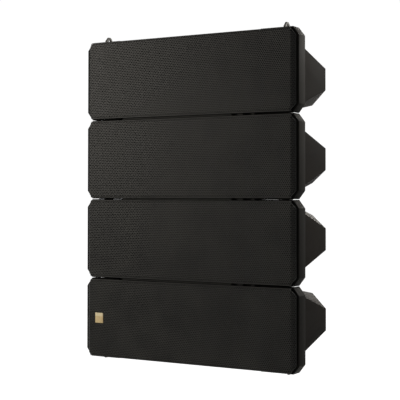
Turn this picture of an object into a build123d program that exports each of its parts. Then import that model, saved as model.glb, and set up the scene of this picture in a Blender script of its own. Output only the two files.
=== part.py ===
# Four-module line array speaker. Millimetres, +X to the viewer's right, front faces -Y, +Z up.
# Origin: middle of the rigging axis that joins the two lug holes on top of the first module.
import math
import os

from build123d import *

# --- modules -------------------------------------------------------------------------------
MODULES = 4
PITCH = 136.5              # height from one module to the next
FRAME_W = 409.0            # front frame, outside
FRAME_H = 135.5            # over the end pads
FRAME_D = 22.0
FRAME_WALL = 3.2
PAD_X = 130.0              # the end pads start here; the middle is set back
MIDDLE_STEP = 0.8
TONGUE_GAP = 0.25
CORNER_X = 10.5            # corner chamfers of the front frame
CORNER_Z = 13.5
BAFFLE_T = 4.0

# --- rear shell ----------------------------------------------------------------------------
SHELL_HALF_W = 172.0
SHELL_HALF_H = 64.7        # where it meets the frame
SIDE_END_Y = 171.3         # vertical edge at the end of the flat side
SIDE_END_HALF_H = 18.5
REAR_Y = 208.5
REAR_HALF_W = 129.4
REAR_HALF_H = 40.4
SHELL_T = 4.0

# --- grille --------------------------------------------------------------------------------
GRILLE_T = 1.5              # punched sheet with its cloth lining
GRILLE_BEVEL = 7.0
GRILLE_LIFT = 8.0          # the grille stands this far in front of the frame
GRILLE_SIDE_GAP = 3.5      # frame outside to the end of the bevel
GRILLE_TOP_GAP = 1.8
GRILLE_CORNER_X = 9.0
GRILLE_CORNER_Z = 12.0

# --- hinge line and rigging ----------------------------------------------------------------
HINGE_Y = 20.0             # behind the front edge of the frame
HINGE_UP = PITCH / 2 + 3.0 # above the middle of the module
LUG_T = 3.0
LUG_W = 20.0
LUG_X = SHELL_HALF_W + 0.3
EAR_X = LUG_X + LUG_T + 0.4
PIN_R = 3.0
BORE_R = 3.05
EAR_R = 6.5
LUG_TOP = 6.8              # above the hinge line
SLOT_X0, SLOT_X1 = 171.3, 192.0
SLOT_DEEP = 17.0
SLOT_FRONT = HINGE_Y - 11.5
POCKET_WALL = 1.4

# --- rear angle hardware -------------------------------------------------------------------
SPLAY = 15.0
CLAMP_Y, CLAMP_Z = 242.0, 16.0
WEB_X = 50.0
WEB_T = 2.5
PLATE_T = 3.0
PLATE_HALF_W = 8.5
PLATE_GAP = 0.3
FIXED_ANGLES = (8.0, 13.0)
TAB = 9.0                  # the upper fixing sits this far outside the arc
BOLT_R = 3.0
SLOT_R = 3.3

# --- drivers -------------------------------------------------------------------------------
WOOFER_X = 104.0
BASKET_R = 60.0
BASKET_HOLE_R = 54.0
SURROUND_R = 51.0
CONE_R = 44.0
COIL_R = 13.0
TWEETER_Z = (-38.0, 0.0, 38.0)
DOME_R = 9.5
DOME_SAG = 4.0
HORN_W, HORN_H = 66.0, 118.0
HORN_Y = 8.0


def box(x0, x1, y0, y1, z0, z1):
    return Pos((x0 + x1) / 2, (y0 + y1) / 2, (z0 + z1) / 2) * Box(x1 - x0, y1 - y0, z1 - z0)


def disc(r, y0, y1, x=0.0, z=0.0):
    """Cylinder along Y."""
    return Pos(x, (y0 + y1) / 2, z) * Rot(90, 0, 0) * Cylinder(r, y1 - y0)


def rod(r, x0, x1, y, z):
    """Cylinder along X."""
    return Pos((x0 + x1) / 2, y, z) * Rot(0, 90, 0) * Cylinder(r, x1 - x0)


def turned(points, x=0.0, z=0.0):
    """Solid of revolution about a Y axis from (radius, y) points."""
    with BuildPart() as p:
        with BuildSketch(Plane.XY):
            with BuildLine():
                Polyline(*points, close=True)
            make_face()
        revolve(axis=Axis.Y, revolution_arc=360)
    return Pos(x, 0, z) * p.part


def mirrored(shape):
    return [shape, mirror(shape, about=Plane.YZ)]


def octagon(width, height, cx, cz, y0, y1):
    a, b = width / 2, height / 2
    pts = [(a - cx, b), (a, b - cz), (a, cz - b), (a - cx, -b),
           (cx - a, -b), (-a, cz - b), (-a, b - cz), (cx - a, b)]
    with BuildPart() as p:
        with BuildSketch(Plane.XZ):
            with BuildLine():
                Polyline(*pts, close=True)
            make_face()
        extrude(amount=-(y1 - y0))
    return Pos(0, y0, 0) * p.part


def cut_plane(a, b, c, inset):
    """Plane through three points, normal away from the middle of the shell, moved inwards."""
    a, b, c = Vector(*a), Vector(*b), Vector(*c)
    n = (b - a).cross(c - a).normalized()
    if (a - Vector(0, 90, 0)).dot(n) < 0:
        n = n * -1
    return Plane(origin=a - n * inset, z_dir=n)


def shell_form(inset=0.0):
    """The tapered body: slopes above and below, triangular corner facets, bevelled rear edges."""
    w, h, y0 = SHELL_HALF_W, SHELL_HALF_H, FRAME_D
    form = box(-w - 5, w + 5, y0 - (1.0 if inset else 0.0), REAR_Y + 5, -h - 5, h + 5)
    planes = [((-9, REAR_Y, 0), (9, REAR_Y, 0), (0, REAR_Y, 9))]
    for sx in (-1, 1):
        front_edge = (sx * w, SIDE_END_Y, 0), (sx * REAR_HALF_W, REAR_Y, 0)
        planes.append(((sx * w, y0, 0), (sx * w, y0 + 9, 0), (sx * w, y0, 9)))
        planes.append((*front_edge, (sx * w, SIDE_END_Y, 9)))
        for sz in (-1, 1):
            planes.append(((sx * w, y0, sz * h), (sx * w, SIDE_END_Y, sz * SIDE_END_HALF_H),
                           (sx * REAR_HALF_W, REAR_Y, sz * REAR_HALF_H)))
    for sz in (-1, 1):
        planes.append(((0, y0, sz * h), (9, y0, sz * h), (0, REAR_Y, sz * REAR_HALF_H)))
    for pts in planes:
        form = split(form, bisect_by=cut_plane(*pts, inset), keep=Keep.BOTTOM)
    return form


def frame_hole(y0, y1):
    """Octagonal inside of the frame ring."""
    t = FRAME_WALL
    return octagon(FRAME_W - 2 * t, FRAME_H - 2 * t, CORNER_X - 0.6 * t, CORNER_Z - 0.5 * t, y0, y1)


def lug_slots(y0, y1, grow=0.0):
    """The four corner spaces in which the lugs of the side brackets swing."""
    slots = []
    for sx in (-1, 1):
        for sz in (-1, 1):
            x0, x1 = sorted((sx * (SLOT_X0 - grow), sx * (SLOT_X1 + grow)))
            top = FRAME_H / 2 + (2 if not grow else -FRAME_WALL / 2)
            z0, z1 = sorted((sz * (FRAME_H / 2 - SLOT_DEEP - grow), sz * top))
            slots.append(box(x0, x1, y0, y1, z0, z1))
    return slots


def front_frame():
    return [frame_ring(), baffle()]


def frame_ring():
    """Octagonal ring with closed pockets round the lug slots."""
    ring = octagon(FRAME_W, FRAME_H, CORNER_X, CORNER_Z, 0, FRAME_D) - frame_hole(-1, FRAME_D + 1)
    for pocket in lug_slots(SLOT_FRONT - POCKET_WALL, FRAME_D - BAFFLE_T, POCKET_WALL):
        ring += pocket
    for slot in lug_slots(SLOT_FRONT, FRAME_D + 1):
        ring -= slot
    return seam_edges(ring)


def baffle():
    """Board bonded into the ring: driver openings, grille bosses and screw holes."""
    front = FRAME_D - BAFFLE_T
    board = frame_hole(front, FRAME_D)
    for s in (-1, 1):
        board -= disc(BASKET_HOLE_R, 0, 40, s * WOOFER_X)
    board -= box(-HORN_W / 2 + 6, HORN_W / 2 - 6, 0, 40, -HORN_H / 2 + 6, HORN_H / 2 - 6)
    for slot in lug_slots(0, FRAME_D + 1):
        board -= slot
    for x in (-184, 184):
        for z in (-36, 0, 36):
            board += disc(4.0, GRILLE_T - GRILLE_LIFT, front + 1, x, z)
    for x, z in shell_screw_places():
        board -= disc(1.9, front - 1, FRAME_D + 1, x, z)
    return board


def seam_edges(ring):
    """End pads, the set-back middle with its tongue, and a small notch beside each pad."""
    h = FRAME_H / 2
    for s in (-1, 1):
        z0, z1 = sorted((s * (h - MIDDLE_STEP), s * (h + 1)))
        ring -= box(-PAD_X, PAD_X, -1, FRAME_D + 1, z0, z1)
        z0, z1 = sorted((s * (h - MIDDLE_STEP - 0.5), s * (PITCH / 2 - TONGUE_GAP)))
        ring += box(-PAD_X, PAD_X, 9, 17, z0, z1)
        z0, z1 = sorted((s * (h - 2.0), s * (h + 1)))
        for x in (-PAD_X - 3.5, PAD_X + 3.5):
            ring -= box(x - 3.5, x + 3.5, -1, 5, z0, z1)
    return ring


def grille():
    """Folded steel tray: flat front, ends bent back 45 degrees, flanges along top and bottom."""
    a = FRAME_W / 2 - GRILLE_SIDE_GAP
    b = FRAME_H / 2 - GRILLE_TOP_GAP
    k, t = GRILLE_BEVEL, GRILLE_T
    d = t * math.tan(math.radians(22.5))
    with BuildPart() as p:
        with BuildSketch(Plane.XY.offset(-b)):
            with BuildLine():
                Polyline((-a, k), (-a + k, 0), (a - k, 0), (a, k), (a - t * 0.7, k + t * 0.7),
                         (a - k - d, t), (-a + k + d, t), (-a + t * 0.7, k + t * 0.7), close=True)
            make_face()
        extrude(amount=2 * b)
    sheet = p.part & octagon(2 * a, 2 * b, GRILLE_CORNER_X, GRILLE_CORNER_Z, -5, 20)
    flange = a - GRILLE_CORNER_X
    for s in (-1, 1):
        z0, z1 = sorted((s * (b - t), s * b))
        sheet += box(-flange, flange, 0, GRILLE_LIFT, z0, z1)
    return Pos(0, -GRILLE_LIFT, 0) * sheet


def shell_screw_places():
    return [(x, z) for z in (-57, 57) for x in (-150, -50, 50, 150)]


def rear_shell():
    body = shell_form() - shell_form(SHELL_T)
    for x, z in shell_screw_places():
        body += disc(6.0, FRAME_D, FRAME_D + 20, x, z) & shell_form()
    for x, z in shell_screw_places():
        body -= disc(1.5, FRAME_D - 1, FRAME_D + 16, x, z)
    for s in (-1, 1):
        for z in (-20, 12):
            body -= disc(1.6, REAR_Y - 3.0, REAR_Y + 1, s * (WEB_X - 12), z)
        for z in (-38, 26):
            body -= rod(1.6, *sorted((s * (SHELL_HALF_W - 3), s * (SHELL_HALF_W + 1))), HINGE_Y + 13, z)
    return body


def shell_screws():
    """Pan-head screws through the baffle into the shell bosses."""
    parts = []
    front = FRAME_D - BAFFLE_T
    for x, z in shell_screw_places():
        shank = disc(1.5, front, FRAME_D + 14.0, x, z)
        parts.append(shank + disc(3.2, front - 2.4, front, x, z))
    return parts


def woofer_baskets():
    y = FRAME_D - BAFFLE_T
    ring = turned([(BASKET_HOLE_R - 1.5, y - 3), (BASKET_R, y - 3), (BASKET_R, y),
                   (BASKET_HOLE_R - 0.5, y), (BASKET_HOLE_R - 0.5, y + 6), (36, y + 34),
                   (36, y + 37), (15.0, y + 37), (15.0, y + 34.5), (33.5, y + 34.5),
                   (BASKET_HOLE_R - 3.2, y + 6)])
    for k in range(6):
        window = Pos(0, y + 19, 0) * Rot(0, 60 * k, 0) * Pos(47, 0, 0) * Box(60, 18, 24)
        ring -= window
    for k in range(4):
        a = math.radians(45 + 90 * k)
        ring -= disc(2.1, y - 4, y + 1, 57.3 * math.cos(a), 57.3 * math.sin(a))
    return [Pos(s * WOOFER_X, 0, 0) * ring for s in (-1, 1)]


def woofer_magnets():
    y = FRAME_D - BAFFLE_T + 37
    magnet = turned([(COIL_R + 1.0, y), (36, y), (36, y + 18), (0, y + 18), (0, y - 4),
                     (COIL_R - 1.4, y - 4), (COIL_R - 1.4, y + 13), (COIL_R + 1.0, y + 13)])
    return [Pos(s * WOOFER_X, 0, 0) * magnet for s in (-1, 1)]


def woofer_cones():
    """Surround, cone, dust cap and voice coil: the part that pumps."""
    y = FRAME_D - BAFFLE_T
    profile = [(SURROUND_R, y - 2.2), (SURROUND_R, y - 1.0), (CONE_R + 1, y - 1.0),
               (COIL_R + 0.6, y + 24), (COIL_R + 0.6, y + 45), (COIL_R - 0.4, y + 45),
               (COIL_R - 0.4, y + 24), (0, y + 20.5), (0, y + 19.0), (6, y + 19.3),
               (11, y + 20.6), (COIL_R + 1, y + 22.0), (CONE_R, y - 3.0),
               (CONE_R + 2, y - 5.0), (CONE_R + 4, y - 5.6), (CONE_R + 6, y - 4.8)]
    cone = turned(profile)
    return [Pos(s * WOOFER_X, 0, 0) * cone for s in (-1, 1)]


def horn():
    """One flared plate with three tweeter throats, screwed over the middle of the baffle."""
    y1 = FRAME_D - BAFFLE_T
    body = box(-HORN_W / 2, HORN_W / 2, HORN_Y, y1, -HORN_H / 2, HORN_H / 2)
    body = chamfer(body.edges().filter_by(Axis.Y), 8)
    for z in TWEETER_Z:
        with BuildPart() as flare:
            with BuildSketch(Plane.XZ.offset(-HORN_Y + 0.01)):
                with Locations((0, z)):
                    Rectangle(54, 33)
            with BuildSketch(Plane.XZ.offset(-y1 - 0.01)):
                with Locations((0, z)):
                    Circle(DOME_R + 2.5)
            loft()
        body -= flare.part
    back = box(-22, 22, y1, y1 + 5, -HORN_H / 2 + 8, HORN_H / 2 - 8)
    for z in TWEETER_Z:
        back -= disc(DOME_R + 2.5, y1 - 1, y1 + 6, 0, z)
        can = disc(17, y1 + 5, y1 + 23, 0, z) - disc(DOME_R + 2.5, y1 + 4, y1 + 14, 0, z)
        back += can
    body += back
    for x in (-29, 29):
        for z in (-19, 19):
            body -= disc(1.7, HORN_Y - 1, y1 + 1, x, z)
    return body


def tweeter_domes():
    y = FRAME_D - BAFFLE_T + 8.0
    r = (DOME_R ** 2 + DOME_SAG ** 2) / (2 * DOME_SAG)
    cap = Pos(0, y - DOME_SAG + r, 0) * (Sphere(r) - Sphere(r - 0.5))
    dome = cap & disc(DOME_R, y - DOME_SAG - 1, y)
    dome += disc(DOME_R + 1.8, y - 0.6, y) - disc(DOME_R - 0.8, y - 1, y + 1)
    return [Pos(0, 0, z) * dome for z in TWEETER_Z]


def plate_outline_yz(points, x0, x1):
    with BuildPart() as p:
        with BuildSketch(Plane.YZ.offset(x0)):
            with BuildLine():
                Polyline(*points, close=True)
            make_face()
        extrude(amount=x1 - x0)
    return p.part


def hinge_bracket():
    """Side bracket: lug for the module above, joggled ear that hangs on the module below."""
    top = HINGE_UP + LUG_TOP
    y0, y1 = HINGE_Y - LUG_W / 2, HINGE_Y + LUG_W / 2
    lug = plate_outline_yz([(y0, 55), (y0, top - 7), (y0 + 7, top), (y1 - 7, top), (y1, top - 7),
                            (y1 + 10, 44), (y1 + 10, -44), (FRAME_D + 0.5, -44), (FRAME_D + 0.5, 55)],
                           LUG_X, LUG_X + LUG_T)
    low = HINGE_UP - PITCH
    ear = plate_outline_yz([(FRAME_D + 0.5, -34), (FRAME_D + 0.5, -52), (HINGE_Y - EAR_R, -56),
                            (HINGE_Y - EAR_R, low), (HINGE_Y - 4, low - EAR_R),
                            (HINGE_Y + 4, low - EAR_R), (HINGE_Y + EAR_R, low),
                            (y1 + 4, -52), (y1 + 10, -44), (y1 + 10, -34)],
                           EAR_X, EAR_X + LUG_T)
    ear += box(LUG_X + 1, EAR_X + 1, FRAME_D + 0.5, y1 + 10, -44, -34)
    part = lug + ear
    part -= rod(BORE_R, LUG_X - 1, LUG_X + LUG_T + 1, HINGE_Y, HINGE_UP)
    part -= rod(BORE_R, EAR_X - 1, EAR_X + LUG_T + 1, HINGE_Y, low)
    for z in (-38, 26):
        part -= rod(2.0, LUG_X - 1, EAR_X + LUG_T + 1, HINGE_Y + 13, z)
    return part


def hinge_pin():
    """Headed pin in the upper ear; the lug of the module below turns on it."""
    low = HINGE_UP - PITCH
    head = EAR_X + LUG_T
    return (rod(PIN_R, LUG_X - 0.1, head, HINGE_Y, low) + rod(5.5, head, head + 2.5, HINGE_Y, low))


def rear_bracket():
    web = plate_outline_yz([(REAR_Y, -30), (REAR_Y, 22), (256, 22), (262, 14), (262, -36),
                            (256, -44), (234, -44), (REAR_Y + 6, -30)], WEB_X, WEB_X + WEB_T)
    part = web + box(WEB_X - 22, WEB_X + WEB_T, REAR_Y, REAR_Y + WEB_T, -30, 22)
    for z in (-20, 12):
        part -= disc(2.0, REAR_Y - 1, REAR_Y + 4, WEB_X - 12, z)
    part -= rod(BOLT_R + 0.1, WEB_X - 1, WEB_X + 4, CLAMP_Y, CLAMP_Z)
    for y, z in fixed_places():
        part -= rod(BOLT_R + 0.1, WEB_X - 1, WEB_X + 4, y, z)
    return part


def arc_radius():
    return math.hypot(CLAMP_Y - HINGE_Y, HINGE_UP - CLAMP_Z)


def on_arc(radius, degrees):
    """Point in the upper module, measured round the hinge line below it."""
    a = math.radians(degrees)
    return HINGE_Y + radius * math.cos(a), HINGE_UP - PITCH + radius * math.sin(a)


def fixed_places():
    low, high = FIXED_ANGLES
    return [on_arc(arc_radius(), low), on_arc(arc_radius() + TAB, high)]


def plate_x(seam):
    """Neighbouring angle plates lie on opposite faces of the webs."""
    if seam % 2:
        return WEB_X + WEB_T + PLATE_GAP
    return WEB_X - PLATE_GAP - PLATE_T


def band(r_in, r_out, a0, a1, x0, x1):
    with BuildPart() as p:
        with BuildSketch(Plane.YZ.offset(x0)):
            with BuildLine():
                mid = (a0 + a1) / 2
                ThreePointArc(on_arc(r_in, a0), on_arc(r_in, mid), on_arc(r_in, a1))
                Line(on_arc(r_in, a1), on_arc(r_out, a1))
                ThreePointArc(on_arc(r_out, a1), on_arc(r_out, mid), on_arc(r_out, a0))
                Line(on_arc(r_out, a0), on_arc(r_in, a0))
            make_face()
        extrude(amount=x1 - x0)
    return p.part


def angle_plate(seam):
    """Steel sector centred on the hinge line; its slot allows the splay."""
    r = arc_radius()
    start = -math.degrees(math.asin((HINGE_UP - CLAMP_Z) / r))
    x0 = plate_x(seam)
    x1 = x0 + PLATE_T
    top = FIXED_ANGLES[1] + 2.4
    plate = band(r - PLATE_HALF_W, r + PLATE_HALF_W, start - 2.2, top, x0, x1)
    plate += band(r, r + PLATE_HALF_W + TAB, FIXED_ANGLES[0] - 2.4, top, x0, x1)
    plate -= band(r - SLOT_R, r + SLOT_R, start, start + SPLAY, x0 - 1, x1 + 1)
    for a in (start, start + SPLAY):
        plate -= rod(SLOT_R, x0 - 1, x1 + 1, *on_arc(r, a))
    for y, z in fixed_places():
        plate -= rod(BOLT_R, x0 - 1, x1 + 1, y, z)
    return plate


def bolt(seam, y, z):
    """Hexagon bolt and nut through web and plate."""
    x0 = min(WEB_X, plate_x(seam)) - PLATE_GAP
    x1 = max(WEB_X + WEB_T, plate_x(seam) + PLATE_T) + PLATE_GAP
    shank = rod(BOLT_R - 0.05, x0 - 1, x1 + 1, y, z)
    hexes = []
    for a, b in ((x0 - 4.5, x0), (x1, x1 + 4.0)):
        with BuildPart() as p:
            with BuildSketch(Plane.YZ.offset(a)):
                with Locations((y, z)):
                    RegularPolygon(5.0, 6, major_radius=False)
            extrude(amount=b - a)
        hexes.append(p.part)
    return shank + hexes[0] + hexes[1]


def bracket_bolts(module):
    parts = []
    if module > 1:
        parts += mirrored(bolt(module - 1, CLAMP_Y, CLAMP_Z))
    if module < MODULES:
        for y, z in fixed_places():
            parts += mirrored(bolt(module, y, z))
    for z in (-20, 12):
        screw = disc(1.6, REAR_Y - 2.5, REAR_Y + WEB_T, WEB_X - 12, z)
        parts += mirrored(screw + disc(3.5, REAR_Y + WEB_T, REAR_Y + WEB_T + 2.4, WEB_X - 12, z))
    for z in (-38, 26):
        end = (EAR_X + LUG_T) if z < -34 else (LUG_X + LUG_T)
        screw = rod(1.6, SHELL_HALF_W - 2.5, end, HINGE_Y + 13, z)
        parts += mirrored(screw + rod(3.5, end, end + 2.4, HINGE_Y + 13, z))
    return parts


def badge():
    """Plain raised plate on the left end of the last grille."""
    x, y = -172.5, -GRILLE_LIFT
    plate = box(x - 8.1, x + 8.1, y - 1.5, y, -8.6, 8.6)
    return chamfer(plate.faces().sort_by(Axis.Y)[0].edges(), 0.5)


INPUT_Z = -4.0


def input_plate():
    plate = box(-27, 27, REAR_Y, REAR_Y + 2.5, INPUT_Z - 26, INPUT_Z + 26)
    for x in (-13, 13):
        plate -= disc(11.0, REAR_Y - 1, REAR_Y + 4, x, INPUT_Z)
    for x in (-23, 23):
        for z in (-22, 22):
            plate -= disc(1.7, REAR_Y - 1, REAR_Y + 4, x, INPUT_Z + z)
    return plate


def input_sockets():
    """Two round locking loudspeaker sockets."""
    y = REAR_Y + 2.5
    ring = turned([(7.2, y - 26), (10.8, y - 26), (10.8, y), (12.4, y), (12.4, y + 2.0),
                   (10.2, y + 2.0), (10.2, y - 23), (7.2, y - 23)])
    core = turned([(0, y - 26), (7.2, y - 26), (7.2, y - 1.5), (0, y - 1.5)])
    return [Pos(x, 0, INPUT_Z) * (ring + core) for x in (-13, 13)]


def filter_board():
    return box(-70, 70, 172.0, 173.6, -30, 30)


def filter_coils():
    parts = []
    for x, z, r, h in ((-44, 13, 13, 16), (-44, -15, 10, 14), (44, 13, 13, 16), (44, -15, 10, 14)):
        coil = disc(r, 173.6, 173.6 + h, x, z) - disc(r * 0.4, 173.0, 174.6 + h, x, z)
        parts.append(coil)
    return parts


def place(shape, module):
    move = Pos(0, -HINGE_Y, -HINGE_UP - (module - 1) * PITCH)
    if isinstance(shape, list):
        return Compound(children=[move * s for s in shape])
    return move * shape


def fit_input(shell):
    """Cut-out behind the input plate and posts for the filter board."""
    for x in (-13, 13):
        shell -= disc(11.4, REAR_Y - 10, REAR_Y + 1, x, INPUT_Z)
    for x in (-62, 62):
        for z in (-22, 22):
            shell += disc(3.0, 173.6, REAR_Y - SHELL_T + 0.5, x, z)
    return shell


def module_parts(i):
    shell = rear_shell()
    if i == 1:
        shell = fit_input(shell)
    return {
        "front_frame": front_frame(),
        "grille": grille(),
        "rear_shell": shell,
        "woofer_baskets": woofer_baskets(),
        "woofer_magnets": woofer_magnets(),
        "woofer_cones": woofer_cones(),
        "horn": horn(),
        "tweeter_domes": tweeter_domes(),
        "hinge_brackets": mirrored(hinge_bracket()),
        "rear_brackets": mirrored(rear_bracket()),
        "shell_screws": shell_screws(),
        "bracket_bolts": bracket_bolts(i),
    }


def build():
    nodes = {}
    for i in range(1, MODULES + 1):
        for name, shape in module_parts(i).items():
            nodes[f"m{i}_{name}"] = place(shape, i)
    for seam in range(1, MODULES):
        nodes[f"seam{seam}_hinge_pins"] = place(mirrored(hinge_pin()), seam)
        nodes[f"seam{seam}_angle_plates"] = place(mirrored(angle_plate(seam)), seam)
    nodes["badge"] = place(badge(), MODULES)
    nodes["input_plate"] = place(input_plate(), 1)
    nodes["input_sockets"] = place(input_sockets(), 1)
    nodes["filter_board"] = place(filter_board(), 1)
    nodes["filter_coils"] = place(filter_coils(), 1)
    return nodes


os.makedirs("parts", exist_ok=True)
for node, shape in build().items():
    export_step(shape, f"parts/{node}.step")
    print(node, round(shape.volume / 1000.0, 2), "cm3")
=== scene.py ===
import math

import bmesh
import bpy
import numpy as np
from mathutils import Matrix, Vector


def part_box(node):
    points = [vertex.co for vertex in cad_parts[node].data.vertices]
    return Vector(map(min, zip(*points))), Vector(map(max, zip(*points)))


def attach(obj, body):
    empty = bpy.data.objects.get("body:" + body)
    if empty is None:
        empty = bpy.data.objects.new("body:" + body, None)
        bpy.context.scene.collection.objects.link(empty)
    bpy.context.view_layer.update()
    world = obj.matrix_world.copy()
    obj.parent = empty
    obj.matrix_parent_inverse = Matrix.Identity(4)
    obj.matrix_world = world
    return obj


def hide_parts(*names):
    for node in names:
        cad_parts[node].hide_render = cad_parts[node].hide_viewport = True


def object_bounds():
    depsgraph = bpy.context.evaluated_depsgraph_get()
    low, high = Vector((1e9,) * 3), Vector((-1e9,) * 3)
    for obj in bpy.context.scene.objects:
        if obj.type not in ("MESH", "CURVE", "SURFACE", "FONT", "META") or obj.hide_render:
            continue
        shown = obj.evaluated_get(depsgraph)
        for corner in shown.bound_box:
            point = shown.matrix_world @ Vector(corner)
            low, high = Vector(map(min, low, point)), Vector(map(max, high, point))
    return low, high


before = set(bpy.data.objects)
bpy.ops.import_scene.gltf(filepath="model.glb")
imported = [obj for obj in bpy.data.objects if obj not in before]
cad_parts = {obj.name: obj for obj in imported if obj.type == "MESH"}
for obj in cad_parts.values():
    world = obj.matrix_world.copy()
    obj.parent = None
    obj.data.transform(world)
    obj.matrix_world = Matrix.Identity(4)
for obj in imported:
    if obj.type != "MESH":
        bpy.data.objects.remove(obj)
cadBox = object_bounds()
moduleCount = 4
modules = range(1, moduleCount + 1)
mm = 0.001
middle = (cadBox[0] + cadBox[1]) / 2


def toLinear(hexText, alpha=1.0):
    channels = [int(hexText[k:k + 2], 16) / 255 for k in (1, 3, 5)]
    return [c / 12.92 if c <= 0.04045 else ((c + 0.055) / 1.055) ** 2.4 for c in channels] + [alpha]


def addNode(tree, kind, settings=None, inputs=None):
    node = tree.nodes.new(kind)
    for name, value in (settings or {}).items():
        setattr(node, name, value)
    for name, value in (inputs or {}).items():
        if isinstance(value, bpy.types.NodeSocket):
            tree.links.new(value, node.inputs[name])
        else:
            node.inputs[name].default_value = value
    return node


def newObject(name, mesh):
    obj = bpy.data.objects.new(name, mesh)
    bpy.context.scene.collection.objects.link(obj)
    return obj


def finishPiece(obj, body, material, slotName, *nodes):
    obj.data.materials.clear()
    obj.data.materials.append(material)
    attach(obj, body)
    if nodes:
        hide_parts(*nodes)


# every surface here starts from two close colours in soft patches, a grain and a roughness that follows the patches
def buildSurface(finish):
    material = bpy.data.materials.new(finish["name"])
    material.use_nodes = True
    tree = material.node_tree
    shader = tree.nodes["Principled BSDF"]
    shader.inputs["Metallic"].default_value = finish.get("metallic", 0.0)
    if not finish.get("metallic"):
        shader.inputs["IOR"].default_value = finish.get("ior", 1.5)
        shader.inputs["Specular IOR Level"].default_value = finish.get("specular", 0.5)
    place = addNode(tree, "ShaderNodeTexCoord").outputs["Object"]
    patches = addNode(tree, "ShaderNodeTexNoise", {}, {"Vector": place, "Scale": 1 / finish["patch"], "Detail": 3.0})
    colour = addNode(tree, "ShaderNodeValToRGB", {}, {"Fac": patches.outputs["Fac"]})
    for stop, position, tint in zip(colour.color_ramp.elements, (0.32, 0.68), (finish["dark"], finish["light"])):
        stop.position = position
        stop.color = toLinear(tint)
    tree.links.new(colour.outputs["Color"], shader.inputs["Base Color"])
    sheen = addNode(tree, "ShaderNodeMapRange", {}, {
        "Value": patches.outputs["Fac"], "From Min": 0.3, "From Max": 0.7,
        "To Min": finish["rough"][0], "To Max": finish["rough"][1]})
    tree.links.new(sheen.outputs["Result"], shader.inputs["Roughness"])
    grain = addNode(tree, "ShaderNodeTexNoise", {}, {"Vector": place, "Scale": 1 / finish["grain"], "Detail": 2.0})
    bump = addNode(tree, "ShaderNodeBump", {}, {
        "Strength": 0.6, "Distance": finish["depth"], "Height": grain.outputs["Fac"]})
    tree.links.new(bump.outputs["Normal"], shader.inputs["Normal"])
    return material, tree, shader, place, colour, bump


# moulded ABS with a spark-eroded grain: the eye gets dull broad highlights, never a mirror
frameFinish = dict(name="black grained ABS", dark="#0c0c0b", light="#12110f", patch=60 * mm, grain=0.9 * mm,
                   depth=0.05 * mm, rough=(0.66, 0.78), ior=1.53, specular=0.05)
frameAbs = buildSurface(frameFinish)[0]

# coarser grained polystyrene of the rear bodies: a greyer, flatter black than the frames
shellFinish = dict(name="black grained polystyrene", dark="#100f0e", light="#171513", patch=70 * mm,
                   grain=1.3 * mm, depth=0.09 * mm, rough=(0.74, 0.86), ior=1.55, specular=0.03)
shellPlastic = buildSurface(shellFinish)[0]

# polyester powder baked on punched steel: satin webs between the holes that catch the key light
coatFinish = dict(name="black powder-coated punched steel", dark="#292928", light="#30302e", patch=40 * mm,
                  grain=1.6 * mm, depth=0.02 * mm, rough=(0.42, 0.52), specular=0.14)
grilleCoat = buildSurface(coatFinish)[0]

# the same powder on thicker steel, darker and a little smoother
bracketFinish = dict(coatFinish, name="black powder-coated steel plate", dark="#10100f", light="#161514",
                     rough=(0.36, 0.48))
bracketCoat = buildSurface(bracketFinish)[0]

# painted light: the hinge lugs get a dull middle grey that stands in for the top-left light they catch, so they show
# pale against the black fronts
lugPaintedLightFinish = dict(coatFinish, name="steel plate with painted light grey", dark="#383835", light="#474641", patch=6 * mm,
                 rough=(0.55, 0.7), specular=0.2)
lugPaintedLight = buildSurface(lugPaintedLightFinish)[0]

# acoustic cloth of matt polyester yarn: it swallows the light, so the holes read black
clothFinish = dict(name="black acoustic polyester cloth", dark="#040404", light="#080707", patch=25 * mm,
                   grain=0.5 * mm, depth=0.05 * mm, rough=(0.9, 1.0), specular=0.03, yarn=0.8 * mm)
clothBlack, clothTree, clothShader, clothPlace, clothColour, clothBump = buildSurface(clothFinish)
yarns = [addNode(clothTree, "ShaderNodeTexWave", {"bands_direction": way}, {
    "Vector": clothPlace, "Scale": math.pi / 10 / clothFinish["yarn"], "Distortion": 0.4}) for way in ("X", "Z")]
weave = addNode(clothTree, "ShaderNodeMath", {"operation": "ADD"}, {
    0: yarns[0].outputs["Fac"], 1: yarns[1].outputs["Fac"]})
addedBump = addNode(clothTree, "ShaderNodeBump", {}, {
    "Strength": 0.8, "Distance": 0.1 * mm, "Height": weave.outputs["Value"], "Normal": clothBump.outputs["Normal"]})
clothTree.links.new(addedBump.outputs["Normal"], clothShader.inputs["Normal"])

# pressed steel dipped in black primer: thin, slightly glossy, shows the press marks
basketFinish = dict(name="black dipped steel", dark="#141414", light="#1e1e1f", patch=18 * mm, grain=2.0 * mm,
                    depth=0.03 * mm, rough=(0.3, 0.45))
# ferrite between zinc-washed plates: dull grey metal with darker stains
magnetFinish = dict(name="zinc-washed iron and ferrite", dark="#3a3a3c", light="#6b6c70", patch=9 * mm,
                    grain=0.7 * mm, depth=0.04 * mm, rough=(0.45, 0.7), metallic=1.0)
# pressed paper pulp with a damping coat: fibrous and soft
coneFinish = dict(name="coated paper pulp", dark="#0e0e0e", light="#1b1a19", patch=4 * mm, grain=0.6 * mm,
                  depth=0.08 * mm, rough=(0.6, 0.8), specular=0.4)
# smooth moulded ABS of the horn mouths: the one glossy plastic
hornFinish = dict(name="smooth black ABS", dark="#090909", light="#0d0d0d", patch=30 * mm, grain=3.0 * mm,
                  depth=0.01 * mm, rough=(0.2, 0.3), ior=1.53)
# thin drawn aluminium with a satin surface
domeFinish = dict(name="satin aluminium foil", dark="#b4b5b8", light="#cdced0", patch=3 * mm, grain=0.3 * mm,
                  depth=0.01 * mm, rough=(0.28, 0.4), metallic=1.0)
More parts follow.
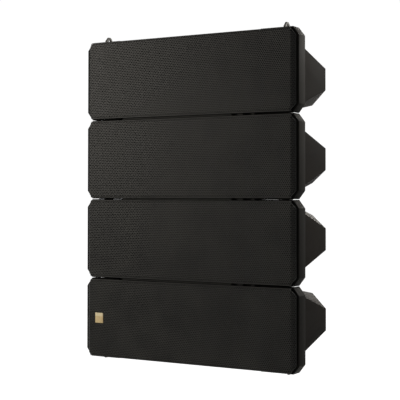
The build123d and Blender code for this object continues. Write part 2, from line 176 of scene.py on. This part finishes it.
# black-oxide screws: dark metal, worn brighter in patches
screwFinish = dict(name="black-oxide steel", dark="#1a1a1b", light="#39393b", patch=2.5 * mm, grain=0.4 * mm,
                   depth=0.02 * mm, rough=(0.32, 0.5), metallic=1.0)
# zinc-plated bolts and pins: pale grey metal with a faint warm stain
boltFinish = dict(name="zinc-plated steel", dark="#8f8e88", light="#b9b9b8", patch=3 * mm, grain=0.5 * mm,
                  depth=0.02 * mm, rough=(0.25, 0.42), metallic=1.0)
# glass-filled nylon sockets: dry, faintly blue black with glass fleck
socketFinish = dict(name="glass-filled nylon", dark="#0f1013", light="#191b20", patch=1.5 * mm, grain=0.5 * mm,
                    depth=0.03 * mm, rough=(0.4, 0.55), ior=1.53)
boardFinish = dict(name="glass-epoxy laminate", dark="#0c2412", light="#123319", patch=8 * mm, grain=0.4 * mm,
                   depth=0.01 * mm, rough=(0.25, 0.35), ior=1.55)
coilFinish = dict(name="enamelled copper wire", dark="#7a3516", light="#a9552b", patch=3 * mm, grain=0.9 * mm,
                  depth=0.02 * mm, rough=(0.2, 0.32), metallic=1.0, wire=1.2 * mm)
made = [buildSurface(f) for f in (basketFinish, magnetFinish, coneFinish, hornFinish, domeFinish, screwFinish,
                                  boltFinish, socketFinish, boardFinish, coilFinish)]
basketBlack, magnetGrey, conePaper, hornAbs, domeFoil, screwBlack, boltZinc, socketNylon, boardGreen, coilWire = \
    [m[0] for m in made]

# tinned tracks show as pale lines on the laminate
boardTree, boardShader, boardPlace, boardColour = made[8][1:5]
tracks = addNode(boardTree, "ShaderNodeTexBrick", {}, {
    "Vector": addNode(boardTree, "ShaderNodeMapping", {}, {
        "Vector": boardPlace, "Rotation": (math.radians(90), 0, 0)}).outputs["Vector"],
    "Scale": 1 / (60 * mm), "Mortar Size": 0.02, "Color1": (0, 0, 0, 1), "Color2": (0, 0, 0, 1), "Mortar": (1, 1, 1, 1)})
tinned = addNode(boardTree, "ShaderNodeMix", {"data_type": "RGBA"}, {
    0: tracks.outputs["Color"], 6: boardColour.outputs["Color"], 7: toLinear("#9c9a8c")})
boardTree.links.new(tinned.outputs[2], boardShader.inputs["Base Color"])

# wound turns: fine rings along the coil axis
coilTree, coilShader, coilPlace, coilColour, coilBump = made[9][1:6]
turns = addNode(coilTree, "ShaderNodeTexWave", {"bands_direction": "Y"}, {
    "Vector": coilPlace, "Scale": math.pi / 10 / coilFinish["wire"]})
wound = addNode(coilTree, "ShaderNodeBump", {}, {
    "Strength": 0.9, "Distance": 0.3 * mm, "Height": turns.outputs["Fac"], "Normal": coilBump.outputs["Normal"]})
coilTree.links.new(wound.outputs["Normal"], coilShader.inputs["Normal"])

# anodised aluminium badge: pale gold with a lighter band along its top
badgeFinish = dict(name="pale gold anodised aluminium", dark="#a08c62", light="#b09c74", patch=5 * mm,
                   grain=0.25 * mm, depth=0.01 * mm, rough=(0.38, 0.5), specular=0.5, band=0.32)
badgeGold, badgeTree, badgeShader, badgePlace, badgeColour = buildSurface(badgeFinish)[:5]
badgeLow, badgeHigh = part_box("badge")
bandStart = badgeHigh[2] - badgeFinish["band"] * (badgeHigh[2] - badgeLow[2])
badgeSplit = addNode(badgeTree, "ShaderNodeSeparateXYZ", {}, {"Vector": badgePlace})
above = addNode(badgeTree, "ShaderNodeMath", {"operation": "GREATER_THAN"}, {
    0: badgeSplit.outputs["Z"], 1: float(bandStart)})
banded = addNode(badgeTree, "ShaderNodeMix", {"data_type": "RGBA"}, {
    0: above.outputs["Value"], 6: badgeColour.outputs["Color"], 7: toLinear("#b3a684")})
badgeTree.links.new(banded.outputs[2], badgeShader.inputs["Base Color"])
print("materials ready")


# a softened copy of a part of the frame: merged, tiny bevels on its sharp edges, smooth shading
def softCopy(nodeName, name, width=0.0, segments=2, angle=30):
    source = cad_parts[nodeName]
    shape = bmesh.new()
    shape.from_mesh(source.data)
    shape.transform(source.matrix_world)
    bmesh.ops.remove_doubles(shape, verts=shape.verts, dist=2e-6)
    if width:
        bmesh.ops.dissolve_limit(shape, angle_limit=math.radians(0.6), verts=shape.verts, edges=shape.edges)
        limit = math.radians(angle)
        sharp = [e for e in shape.edges if len(e.link_faces) == 2 and e.calc_face_angle(0) > limit]
        bmesh.ops.bevel(shape, geom=sharp, offset=width, segments=segments, profile=0.5,
                        affect="EDGES", clamp_overlap=True)
    mesh = bpy.data.meshes.new(name)
    shape.to_mesh(mesh)
    shape.free()
    obj = newObject(name, mesh)
    for poly in mesh.polygons:
        poly.use_smooth = True
    mesh.set_sharp_from_angle(angle=math.radians(32))
    return obj


def softenNode(nodeName, body, material, slotName, edges):
    words = nodeName.split("_")
    name = words[-2] + words[-1].capitalize() + words[0].capitalize() if len(words) > 2 else nodeName
    finishPiece(softCopy(nodeName, name, **edges), body, material, slotName, nodeName)


frameEdges = dict(width=0.5 * mm, segments=2)
shellEdges = dict(width=1.2 * mm, segments=3)
plateEdges = dict(width=0.35 * mm, segments=2)
boltEdges = dict(width=0.25 * mm, segments=2)
roundEdges = dict(width=0.0)
for i in modules:
    body = f"module{i}"
    softenNode(f"m{i}_front_frame", body, frameAbs, "frame_plastic", frameEdges)
    softenNode(f"m{i}_rear_shell", body, shellPlastic, "shell_plastic", shellEdges)
    # the hinge lugs carry the grey of painted light
    softenNode(f"m{i}_hinge_brackets", body, lugPaintedLight, "bracket_steel", plateEdges)
    softenNode(f"m{i}_rear_brackets", body, bracketCoat, "bracket_steel", plateEdges)
    softenNode(f"m{i}_bracket_bolts", body, boltZinc, "bolt_steel", boltEdges)
    softenNode(f"m{i}_shell_screws", body, screwBlack, "screw_steel", roundEdges)
    softenNode(f"m{i}_woofer_baskets", body, basketBlack, "basket_steel", roundEdges)
    softenNode(f"m{i}_woofer_magnets", body, magnetGrey, "magnet", roundEdges)
    softenNode(f"m{i}_horn", body, hornAbs, "horn_plastic", roundEdges)
    softenNode(f"m{i}_woofer_cones", f"cones{i}", conePaper, "cone", roundEdges)
    softenNode(f"m{i}_tweeter_domes", f"domes{i}", domeFoil, "dome", roundEdges)
for k in range(1, moduleCount):
    softenNode(f"seam{k}_angle_plates", f"module{k}", bracketCoat, "bracket_steel", plateEdges)
    softenNode(f"seam{k}_hinge_pins", f"module{k}", boltZinc, "bolt_steel", boltEdges)
softenNode("input_plate", "module1", bracketCoat, "bracket_steel", plateEdges)
softenNode("input_sockets", "module1", socketNylon, "socket_plastic", roundEdges)
softenNode("filter_board", "module1", boardGreen, "board", plateEdges)
softenNode("filter_coils", "module1", coilWire, "coil", roundEdges)
softenNode("badge", f"module{moduleCount}", badgeGold, "badge", dict(width=0.12 * mm, segments=2))
print("softened parts ready")


# grilles: a sheet of hexagonal cells, each with a hole, folded back at both ends, with cloth behind
grille = dict(pitch=3.351 * mm, holeRadius=1.3 * mm, thickness=1.0 * mm, bevel=7.0 * mm, bendRadius=2.2 * mm,
              border=1.2 * mm, borderProud=0.04 * mm, corner=11.5 * mm, chamfer=0.4 * mm, flangeHalf=191.5 * mm)
cloth = dict(gap=0.05 * mm, thickness=0.35 * mm, inset=1.5 * mm)


def perforationTree():
    tree = bpy.data.node_groups.new("perforated sheet", "GeometryNodeTree")
    face = tree.interface
    for name, kind in (("Columns", "NodeSocketInt"), ("Rows", "NodeSocketInt"), ("Span X", "NodeSocketFloat"),
                       ("Span Y", "NodeSocketFloat"), ("Row Shift", "NodeSocketFloat"),
                       ("Cell Radius", "NodeSocketFloat"), ("Hole Scale", "NodeSocketFloat"),
                       ("Thickness", "NodeSocketFloat"), ("Half Width", "NodeSocketFloat"),
                       ("Half Height", "NodeSocketFloat"), ("Corner Sum", "NodeSocketFloat"),
                       ("Weld", "NodeSocketFloat"), ("Material", "NodeSocketMaterial")):
        face.new_socket(name, in_out="INPUT", socket_type=kind)
    face.new_socket("Geometry", in_out="OUTPUT", socket_type="NodeSocketGeometry")
    given = addNode(tree, "NodeGroupInput").outputs
    grid = addNode(tree, "GeometryNodeMeshGrid", {}, {
        "Size X": given["Span X"], "Size Y": given["Span Y"],
        "Vertices X": given["Columns"], "Vertices Y": given["Rows"]})
    # with an even number of rows, odd points are the odd rows
    odd = addNode(tree, "ShaderNodeMath", {"operation": "MODULO"}, {
        0: addNode(tree, "GeometryNodeInputIndex").outputs["Index"], 1: 2.0})
    shift = addNode(tree, "ShaderNodeMath", {"operation": "MULTIPLY"}, {0: odd.outputs[0], 1: given["Row Shift"]})
    offset = addNode(tree, "ShaderNodeCombineXYZ", {}, {"X": shift.outputs[0]})
    staggered = addNode(tree, "GeometryNodeSetPosition", {}, {
        "Geometry": grid.outputs["Mesh"], "Offset": offset.outputs["Vector"]})
    away = addNode(tree, "ShaderNodeVectorMath", {"operation": "ABSOLUTE"}, {
        0: addNode(tree, "GeometryNodeInputPosition").outputs["Position"]})
    now = addNode(tree, "ShaderNodeSeparateXYZ", {}, {"Vector": away.outputs["Vector"]})
    total = addNode(tree, "ShaderNodeMath", {"operation": "ADD"}, {0: now.outputs["X"], 1: now.outputs["Y"]})
    pastEnd = addNode(tree, "ShaderNodeMath", {"operation": "GREATER_THAN"}, {
        0: now.outputs["X"], 1: given["Half Width"]})
    pastTop = addNode(tree, "ShaderNodeMath", {"operation": "GREATER_THAN"}, {
        0: now.outputs["Y"], 1: given["Half Height"]})
    pastCorner = addNode(tree, "ShaderNodeMath", {"operation": "GREATER_THAN"}, {
        0: total.outputs[0], 1: given["Corner Sum"]})
    pastSide = addNode(tree, "ShaderNodeMath", {"operation": "MAXIMUM"}, {
        0: pastEnd.outputs[0], 1: pastTop.outputs[0]})
    outside = addNode(tree, "ShaderNodeMath", {"operation": "MAXIMUM"}, {
        0: pastSide.outputs[0], 1: pastCorner.outputs[0]})
    kept = addNode(tree, "GeometryNodeDeleteGeometry", {"domain": "POINT"}, {
        "Geometry": staggered.outputs["Geometry"], "Selection": outside.outputs[0]})
    disc = addNode(tree, "GeometryNodeMeshCircle", {"fill_type": "NGON"}, {
        "Vertices": 6, "Radius": given["Cell Radius"]})
    inset = addNode(tree, "GeometryNodeExtrudeMesh", {"mode": "FACES"}, {
        "Mesh": disc.outputs["Mesh"], "Offset Scale": 0.0, "Individual": True})
    ring = addNode(tree, "GeometryNodeScaleElements", {"domain": "FACE"}, {
        "Geometry": inset.outputs["Mesh"], "Selection": inset.outputs["Top"], "Scale": given["Hole Scale"]})
    cell = addNode(tree, "GeometryNodeDeleteGeometry", {"domain": "FACE"}, {
        "Geometry": ring.outputs["Geometry"], "Selection": inset.outputs["Top"]})
    cells = addNode(tree, "GeometryNodeInstanceOnPoints", {}, {
        "Points": kept.outputs["Geometry"], "Instance": cell.outputs["Geometry"],
        "Rotation": (0.0, 0.0, math.radians(30))})
    real = addNode(tree, "GeometryNodeRealizeInstances", {}, {"Geometry": cells.outputs["Instances"]})
    sheet = addNode(tree, "GeometryNodeMergeByDistance", {}, {
        "Geometry": real.outputs["Geometry"], "Distance": given["Weld"]})
    front = addNode(tree, "GeometryNodeExtrudeMesh", {"mode": "FACES"}, {
        "Mesh": sheet.outputs["Geometry"], "Offset Scale": given["Thickness"], "Individual": False})
    back = addNode(tree, "GeometryNodeFlipFaces", {}, {"Mesh": sheet.outputs["Geometry"]})
    both = addNode(tree, "GeometryNodeJoinGeometry")
    tree.links.new(front.outputs["Mesh"], both.inputs[0])
    tree.links.new(back.outputs["Mesh"], both.inputs[0])
    closed = addNode(tree, "GeometryNodeMergeByDistance", {}, {
        "Geometry": both.outputs["Geometry"], "Distance": given["Weld"]})
    whole = addNode(tree, "GeometryNodeRealizeInstances", {}, {"Geometry": closed.outputs["Geometry"]})
    painted = addNode(tree, "GeometryNodeSetMaterial", {}, {
        "Geometry": whole.outputs["Geometry"], "Material": given["Material"]})
    addNode(tree, "NodeGroupOutput", {}, {"Geometry": painted.outputs["Geometry"]})
    return tree


def evaluateTree(tree, values, name):
    carrier = newObject("carrier", bpy.data.meshes.new("carrier"))
    modifier = carrier.modifiers.new("nodes", "NODES")
    modifier.node_group = tree
    for item in tree.interface.items_tree:
        if item.in_out == "INPUT" and item.name in values:
            modifier[item.identifier] = values[item.name]
    graph = bpy.context.evaluated_depsgraph_get()
    mesh = bpy.data.meshes.new_from_object(carrier.evaluated_get(graph))
    mesh.name = name
    carrier.modifiers.remove(modifier)
    bpy.data.objects.remove(carrier)
    return mesh


def octagonPoints(halfWidth, halfHeight, corner, bends):
    stops = [x for x in bends if abs(x) < halfWidth - corner]
    top = [(x, halfHeight) for x in sorted(stops + [halfWidth - corner, corner - halfWidth], reverse=True)]
    bottom = [(x, -halfHeight) for x in sorted(stops + [halfWidth - corner, corner - halfWidth])]
    return top + [(-halfWidth, halfHeight - corner), (-halfWidth, corner - halfHeight)] + bottom + \
        [(halfWidth, corner - halfHeight), (halfWidth, halfHeight - corner)]


def addBorder(shape, halfWidth, halfHeight, corner, border, low, high, bends):
    bends = [x for x in bends if abs(x) < halfWidth - corner - border]
    outer = octagonPoints(halfWidth, halfHeight, corner, bends)
    inner = octagonPoints(halfWidth - border, halfHeight - border, corner - 0.586 * border, bends)
    cut = grille["chamfer"]
    edge = octagonPoints(halfWidth - cut, halfHeight - cut, corner - 0.586 * cut, bends)
    rings = [[shape.verts.new((x, y, z)) for x, y in line]
             for line, z in ((outer, high - cut), (edge, high), (inner, high), (inner, low), (outer, low))]
    count = len(outer)
    for k in range(count):
        n = (k + 1) % count
        for a in range(len(rings)):
            b = (a + 1) % len(rings)
            shape.faces.new((rings[a][k], rings[a][n], rings[b][n], rings[b][k]))


# the folded edge above or below the sheet, which closes the gap back to the frame
def addFlange(shape, side, halfWidth, halfHeight, low, high):
    rows = ((halfHeight, low), (halfHeight, high), (halfHeight - grille["thickness"], high),
            (halfHeight - grille["thickness"], low))
    ends = [[shape.verts.new((x, side * y, z)) for y, z in rows] for x in (-halfWidth, halfWidth)]
    for a in range(4):
        b = (a + 1) % 4
        shape.faces.new((ends[0][a], ends[1][a], ends[1][b], ends[0][b])[::-side])
    shape.faces.new(ends[0][::side])
    shape.faces.new(ends[1][::-side])


def addStrip(shape, halfWidth, halfHeight, corner, low, high, bends):
    inner = [x for x in bends if abs(x) < halfWidth - corner] + [halfWidth - corner, corner - halfWidth]
    columns = []
    for x in sorted(inner + [halfWidth, -halfWidth]):
        top = halfHeight - max(0.0, abs(x) - halfWidth + corner)
        columns.append([shape.verts.new((x, s * top, z)) for s, z in ((-1, high), (1, high), (1, low), (-1, low))])
    for left, right in zip(columns, columns[1:]):
        for a in range(4):
            b = (a + 1) % 4
            shape.faces.new((left[a], right[a], right[b], left[b]))
    shape.faces.new(columns[0])
    shape.faces.new(columns[-1][::-1])


def foldEnds(mesh, flatHalf, place, angle=math.radians(45)):
    coords = np.empty(len(mesh.vertices) * 3)
    mesh.vertices.foreach_get("co", coords)
    coords = coords.reshape(-1, 3)
    side, s, r, t = np.sign(coords[:, 0]), np.abs(coords[:, 0]), coords[:, 1], grille["thickness"] - coords[:, 2]
    radius = grille["bendRadius"]
    start = flatHalf - radius * math.tan(angle / 2)
    turn = np.clip((s - start) / radius, 0, angle)
    past = np.maximum(s - start - radius * angle, 0)
    along = np.where(s < start, s, start + radius * np.sin(turn) + past * math.cos(angle))
    back = np.where(s < start, 0.0, radius * (1 - np.cos(turn)) + past * math.sin(angle))
    folded = np.stack([side * (along - t * np.sin(turn)) + place[0], back + t * np.cos(turn) + place[1],
                       r + place[2]], axis=1)
    mesh.vertices.foreach_set("co", folded.ravel())
    mesh.update()


def makeGrille(i, tree):
    low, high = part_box(f"m{i}_grille")
    place = ((low[0] + high[0]) / 2, low[1], (low[2] + high[2]) / 2)
    halfHeight = (high[2] - low[2]) / 2
    flatHalf = (high[0] - low[0]) / 2 - grille["bevel"]
    bentHalf = flatHalf + grille["bevel"] * math.sqrt(2) - 0.8 * grille["thickness"]
    pitch, thickness, corner = grille["pitch"], grille["thickness"], grille["corner"]
    edge = 0.55 * pitch
    columns = int(2 * bentHalf / pitch) + 3
    rows = 2 * (int(halfHeight / (pitch * 0.866)) + 2)
    cell = pitch / math.sqrt(3)
    sheet = evaluateTree(tree, {
        "Columns": columns, "Rows": rows, "Span X": (columns - 1) * pitch, "Span Y": (rows - 1) * pitch * 0.8660254,
        "Row Shift": pitch / 2, "Cell Radius": cell, "Hole Scale": grille["holeRadius"] / cell,
        "Thickness": thickness, "Half Width": bentHalf - edge, "Half Height": halfHeight - edge,
        "Corner Sum": bentHalf + halfHeight - corner - 1.4 * edge, "Weld": 0.04 * pitch,
        "Material": grilleCoat}, f"grille{i}")
    bends = [s * (flatHalf + k * mm) for s in (-1, 1) for k in (-1.6, -0.9, -0.2, 0.5, 1.2)]
    shape = bmesh.new()
    shape.from_mesh(sheet)
    addBorder(shape, bentHalf, halfHeight, corner, grille["border"], -grille["borderProud"],
              thickness + grille["borderProud"], bends)
    for side in (-1, 1):
        addFlange(shape, side, grille["flangeHalf"], halfHeight - 0.02 * mm, thickness - (high[1] - low[1]),
                  thickness - grille["chamfer"])
    bmesh.ops.recalc_face_normals(shape, faces=shape.faces)
    shape.to_mesh(sheet)
    shape.free()
    foldEnds(sheet, flatHalf, place)
    finishPiece(newObject(f"grille{i}", sheet), f"module{i}", grilleCoat, "grille_steel", f"m{i}_grille")
    lining = bpy.data.meshes.new(f"grilleCloth{i}")
    shape = bmesh.new()
    addStrip(shape, bentHalf - cloth["inset"], halfHeight - cloth["inset"], corner, -cloth["gap"] - cloth["thickness"],
             -cloth["gap"], bends)
    shape.to_mesh(lining)
    shape.free()
    foldEnds(lining, flatHalf, place)
    finishPiece(newObject(f"grilleCloth{i}", lining), f"module{i}", clothBlack, "grille_steel", f"m{i}_grille")
    return sheet


sheetTree = perforationTree()
for i in modules:
    sheet = makeGrille(i, sheetTree)
print("grilles ready,", len(sheet.vertices), "points each")

# closed-cell EPDM foam between the fronts: matt charcoal a little behind the grilles, a dull line in each seam
foamFinish = dict(name="black EPDM foam", dark="#20201f", light="#2a2a28", patch=12 * mm, grain=0.8 * mm,
                  depth=0.1 * mm, rough=(0.85, 0.95), specular=0.1)
foamBlack = buildSurface(foamFinish)[0]
seal = dict(front=-5.0 * mm, recess=6.0 * mm, back=8.0 * mm, half=1.2 * mm, raised=((-127, 86), (97, 107), (122, 128)),
            backHalf=129 * mm, endHalf=0.42 * mm, endStart=128.5 * mm, notchEnd=138.0 * mm, endStop=186 * mm,
            endBack=16 * mm, slit=0.12 * mm)


def addBlock(shape, low, high):
    corners = [shape.verts.new([(low, high)[pick][axis] for axis, pick in enumerate(picks)])
               for picks in ((a, b, c) for a in (0, 1) for b in (0, 1) for c in (0, 1))]
    for face in ((0, 1, 3, 2), (4, 6, 7, 5), (0, 4, 5, 1), (2, 3, 7, 6), (0, 2, 6, 4), (1, 5, 7, 3)):
        shape.faces.new([corners[n] for n in face])


def makeSeal(k):
    upper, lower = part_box(f"m{k}_front_frame"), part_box(f"m{k + 1}_front_frame")
    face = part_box(f"m{k}_grille")[1][1]
    level = (upper[0][2] + lower[1][2]) / 2
    front, recess, back, half = (seal[n] for n in ("front", "recess", "back", "half"))
    shape = bmesh.new()
    addBlock(shape, (-seal["backHalf"], face + recess, level - half), (seal["backHalf"], face + back, level + half))
    for start, stop in seal["raised"]:
        addBlock(shape, (start * mm, face + front, level - half), (stop * mm, face + recess, level + half))
    for side in (-1, 1):
        for start, stop, low in ((seal["endStart"], seal["notchEnd"], -seal["endHalf"]),
                                 (seal["notchEnd"], seal["endStop"], -seal["endHalf"] + seal["slit"])):
            first, last = sorted((side * start, side * stop))
            addBlock(shape, (first, face + back, level + low), (last, face + seal["endBack"], level + seal["endHalf"]))
    bmesh.ops.recalc_face_normals(shape, faces=shape.faces)
    mesh = bpy.data.meshes.new(f"seamSeal{k}")
    shape.to_mesh(mesh)
    shape.free()
    finishPiece(newObject(f"seamSeal{k}", mesh), f"module{k}", foamBlack, "frame_plastic")


for k in range(1, moduleCount):
    makeSeal(k)
print("seam seals ready")

# white cove: a pale floor with a painted glow towards the wall and an even white room, softboxes to the left, above and
# behind
stage = dict(floorDrop=0.55, floorSize=14.0, colour="#fbfbfb", glow=0.8, glowFrom=1.2, glowTo=2.4,
             wall=1.02, room=0.32, wallWay=(-0.513, 0.858, 0.02), wallEdge=(0.848, 0.951))
lower = cadBox[0][2] - stage["floorDrop"]
half = stage["floorSize"] / 2
floorMesh = bpy.data.meshes.new("floor")
floorMesh.from_pydata([(-half, -half, lower), (half, -half, lower), (half, half, lower), (-half, half, lower)],
                      [], [(0, 1, 2, 3)])
floor = newObject("floor", floorMesh)
floorPaint = bpy.data.materials.new("matt white floor paint with painted glow")
floorPaint.use_nodes = True
floorShader = floorPaint.node_tree.nodes["Principled BSDF"]
floorShader.inputs["Base Color"].default_value = toLinear(stage["colour"])
floorShader.inputs["Roughness"].default_value = 0.9
floorShader.inputs["Emission Color"].default_value = toLinear(stage["colour"])
# painted glow: the floor emits light of its own that rises towards the wall, so it stays dim under the stack
floorTree = floorPaint.node_tree
floorWay = addNode(floorTree, "ShaderNodeVectorMath", {"operation": "DOT_PRODUCT"}, {
    0: addNode(floorTree, "ShaderNodeTexCoord").outputs["Object"], 1: stage["wallWay"]})
floorPaintedGlow = addNode(floorTree, "ShaderNodeMapRange", {"interpolation_type": "SMOOTHSTEP"}, {
    "Value": floorWay.outputs["Value"], "From Min": stage["glowFrom"], "From Max": stage["glowTo"],
    "To Min": 0.0, "To Max": stage["glow"]})
floorTree.links.new(floorPaintedGlow.outputs["Result"], floorShader.inputs["Emission Strength"])
floor.data.materials.append(floorPaint)

world = bpy.data.worlds.new("white room")
bpy.context.scene.world = world
world.use_nodes = True
# a white wall behind the stack; the rest of the room is a softer grey
roomTree = world.node_tree
wallShare = addNode(roomTree, "ShaderNodeVectorMath", {"operation": "DOT_PRODUCT"}, {
    0: addNode(roomTree, "ShaderNodeTexCoord").outputs["Generated"], 1: stage["wallWay"]})
roomLight = addNode(roomTree, "ShaderNodeMapRange", {"interpolation_type": "SMOOTHSTEP"}, {
    "Value": wallShare.outputs["Value"], "From Min": stage["wallEdge"][0], "From Max": stage["wallEdge"][1],
    "To Min": stage["room"], "To Max": stage["wall"]})
background = roomTree.nodes["Background"]
background.inputs["Color"].default_value = (1.0, 1.0, 1.0, 1.0)
roomTree.links.new(roomLight.outputs["Result"], background.inputs["Strength"])


def addSoftbox(name, place, target, size, power, colour):
    lamp = bpy.data.lights.new(name, "AREA")
    lamp.shape = "RECTANGLE"
    lamp.size, lamp.size_y = size
    lamp.energy = power
    lamp.color = toLinear(colour)[:3]
    light = bpy.data.objects.new(name, lamp)
    bpy.context.scene.collection.objects.link(light)
    light.location = place
    light.rotation_euler = (Vector(target) - Vector(place)).to_track_quat("-Z", "Y").to_euler()


centre = Vector(middle)
# places and targets are measured from the middle of the stack
softboxes = dict(
    keySoftbox=dict(place=(-0.82, -0.78, 0.34), target=(-0.15, 0, 0.02), size=(0.5, 0.7), power=11.5, colour="#fff8ee"),
    topSoftbox=dict(place=(0.7, 0.75, 0.7), target=(0.15, 0.05, 0.22), size=(0.7, 0.7), power=24.0, colour="#fffaf2"),
    rearSoftbox=dict(place=(-0.45, 1.35, 0.6), target=(0, 0.1, 0), size=(0.9, 0.9), power=42.0, colour="#fffaf2"))
for name, box in softboxes.items():
    addSoftbox(name, centre + Vector(box["place"]), centre + Vector(box["target"]), box["size"], box["power"],
               box["colour"])

# the camera stands to the front right, a little below the middle of the stack, tilted up slightly
camera = dict(yaw=30.892, tilt=1.478, roll=-0.065, lens=98.903, shift=-0.084, place=(0.95141, -1.56963, -0.26868))
data = bpy.data.cameras.new("camera")
data.sensor_width = 36.0
data.lens = camera["lens"]
data.shift_y = camera["shift"]
data.clip_start, data.clip_end = 0.05, 60.0
cameraObject = bpy.data.objects.new("camera", data)
bpy.context.scene.collection.objects.link(cameraObject)
cameraObject.location = camera["place"]
cameraObject.rotation_euler = (math.radians(90 + camera["tilt"]), math.radians(camera["roll"]),
                               math.radians(camera["yaw"]))
bpy.context.scene.camera = cameraObject
bpy.context.scene.view_settings.view_transform = "Standard"
print("stage ready")
